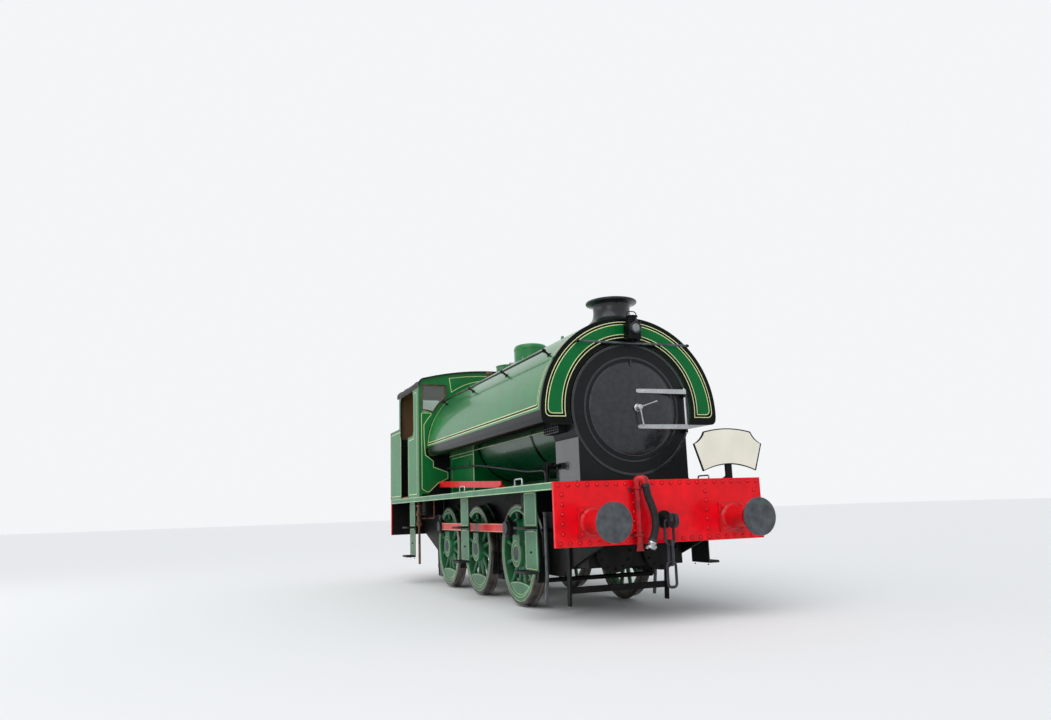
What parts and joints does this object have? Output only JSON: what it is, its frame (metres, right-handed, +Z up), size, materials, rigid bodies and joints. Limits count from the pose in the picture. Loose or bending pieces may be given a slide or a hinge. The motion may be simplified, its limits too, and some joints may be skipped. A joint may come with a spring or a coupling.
{
  "type": "steam locomotive",
  "caption": "Six-wheeled saddle tank steam locomotive with inside cylinders, coupled wheels, cab, bunker and buffers at both ends.",
  "frame": {"origin": "on the floor under the wheel flanges, half way between the buffer faces, on the centre line", "axes": "+X forward, towards the smokebox; +Y to the left side; +Z up"},
  "size_m": [9.246, 2.685, 3.7685],
  "materials": {
    "black_paint": "satin black paint",
    "brass": "dull brass",
    "bright_steel": "polished steel",
    "cream_paint": "cream painted board",
    "dark_steel": "oiled dark steel",
    "glass": "clear window glass",
    "green_paint": "gloss green paint with fine lining",
    "red_paint": "gloss red paint",
    "rubber": "dark ribbed rubber hose",
    "smokebox_black": "heat resisting satin black"
  },
  "bodies": {
    "chassis": {"main_frames": "black_paint", "axleboxes_and_springs": "dark_steel", "frame_stretchers": "black_paint", "cylinder_block": "black_paint", "buffer_beams": "red_paint", "buffer_stocks": "red_paint", "buffer_heads": "dark_steel", "running_plates": "green_paint", "boiler": "green_paint", "firebox": "green_paint", "firehole_hinge": "dark_steel", "smokebox_wrapper": "smokebox_black", "smokebox_front": "smokebox_black", "saddle_tank": "green_paint", "filler_neck": "green_paint", "chimney": "black_paint", "dome": "green_paint", "valves_and_whistle": "brass", "cab_roof": "black_paint", "cab_front": "green_paint", "cab_rear": "green_paint", "window_glass": "glass", "cab_sides": "green_paint", "bunker": "green_paint", "steps": "green_paint", "sand_boxes": "black_paint", "guard_irons": "black_paint", "brake_rigging": "black_paint", "handrails": "black_paint", "front_lamp": "black_paint", "headboard": "cream_paint", "reach_rod": "red_paint", "front_vacuum_hose": "rubber", "rear_vacuum_hose": "rubber", "vacuum_standpipes": "red_paint", "draw_gear": "dark_steel", "injectors": "brass"},
    "leading_wheelset": {"leading_wheels": "green_paint", "leading_axle_and_pins": "dark_steel"},
    "driving_wheelset": {"driving_wheels": "green_paint", "driving_axle_and_pins": "dark_steel"},
    "trailing_wheelset": {"trailing_wheels": "green_paint", "trailing_axle_and_pins": "dark_steel"},
    "right_rod": {"coupling_rod_right": "red_paint"},
    "left_rod": {"coupling_rod_left": "red_paint"},
    "smokebox_door": {"smokebox_door": "smokebox_black", "door_straps": "bright_steel"},
    "filler_lid": {"filler_lid": "green_paint"},
    "firehole_door": {"firehole_door": "dark_steel"}
  },
  "joints": [
    {"name": "driving_wheels_turn", "type": "hinge", "parent": "chassis", "child": "driving_wheelset", "pos_m": [-0.048, 0, 0.676], "axis": [0, 1, 0], "continuous": true},
    {"name": "leading_wheels_turn", "type": "hinge", "parent": "chassis", "child": "leading_wheelset", "pos_m": [1.705, 0, 0.676], "axis": [0, 1, 0], "continuous": true},
    {"name": "trailing_wheels_turn", "type": "hinge", "parent": "chassis", "child": "trailing_wheelset", "pos_m": [-1.648, 0, 0.676], "axis": [0, 1, 0], "continuous": true},
    {"name": "right_rod_pivot", "type": "hinge", "parent": "driving_wheelset", "child": "right_rod", "pos_m": [-0.048, -0.935, 1.006], "axis": [0, 1, 0], "continuous": true},
    {"name": "left_rod_pivot", "type": "hinge", "parent": "driving_wheelset", "child": "left_rod", "pos_m": [-0.378, 0.935, 0.676], "axis": [0, 1, 0], "continuous": true},
    {"name": "smokebox_door_swing", "type": "hinge", "parent": "chassis", "child": "smokebox_door", "pos_m": [3.578, 0.69, 2.3635], "axis": [0, 0, 1], "range_deg": [0, 50]},
    {"name": "filler_lid_swing", "type": "hinge", "parent": "chassis", "child": "filler_lid", "pos_m": [-0.885, 0, 3.5965], "axis": [0, -1, 0], "range_deg": [0, 110]},
    {"name": "firehole_door_swing", "type": "hinge", "parent": "chassis", "child": "firehole_door", "pos_m": [-2.0803, 0.26, 2.0335], "axis": [0, 0, -1], "range_deg": [0, 100]}
  ],
  "couplings": [
    {"joint": "leading_wheels_turn", "follows": "driving_wheels_turn", "ratio": 1},
    {"joint": "trailing_wheels_turn", "follows": "driving_wheels_turn", "ratio": 1},
    {"joint": "right_rod_pivot", "follows": "driving_wheels_turn", "ratio": -1},
    {"joint": "left_rod_pivot", "follows": "driving_wheels_turn", "ratio": -1}
  ]
}
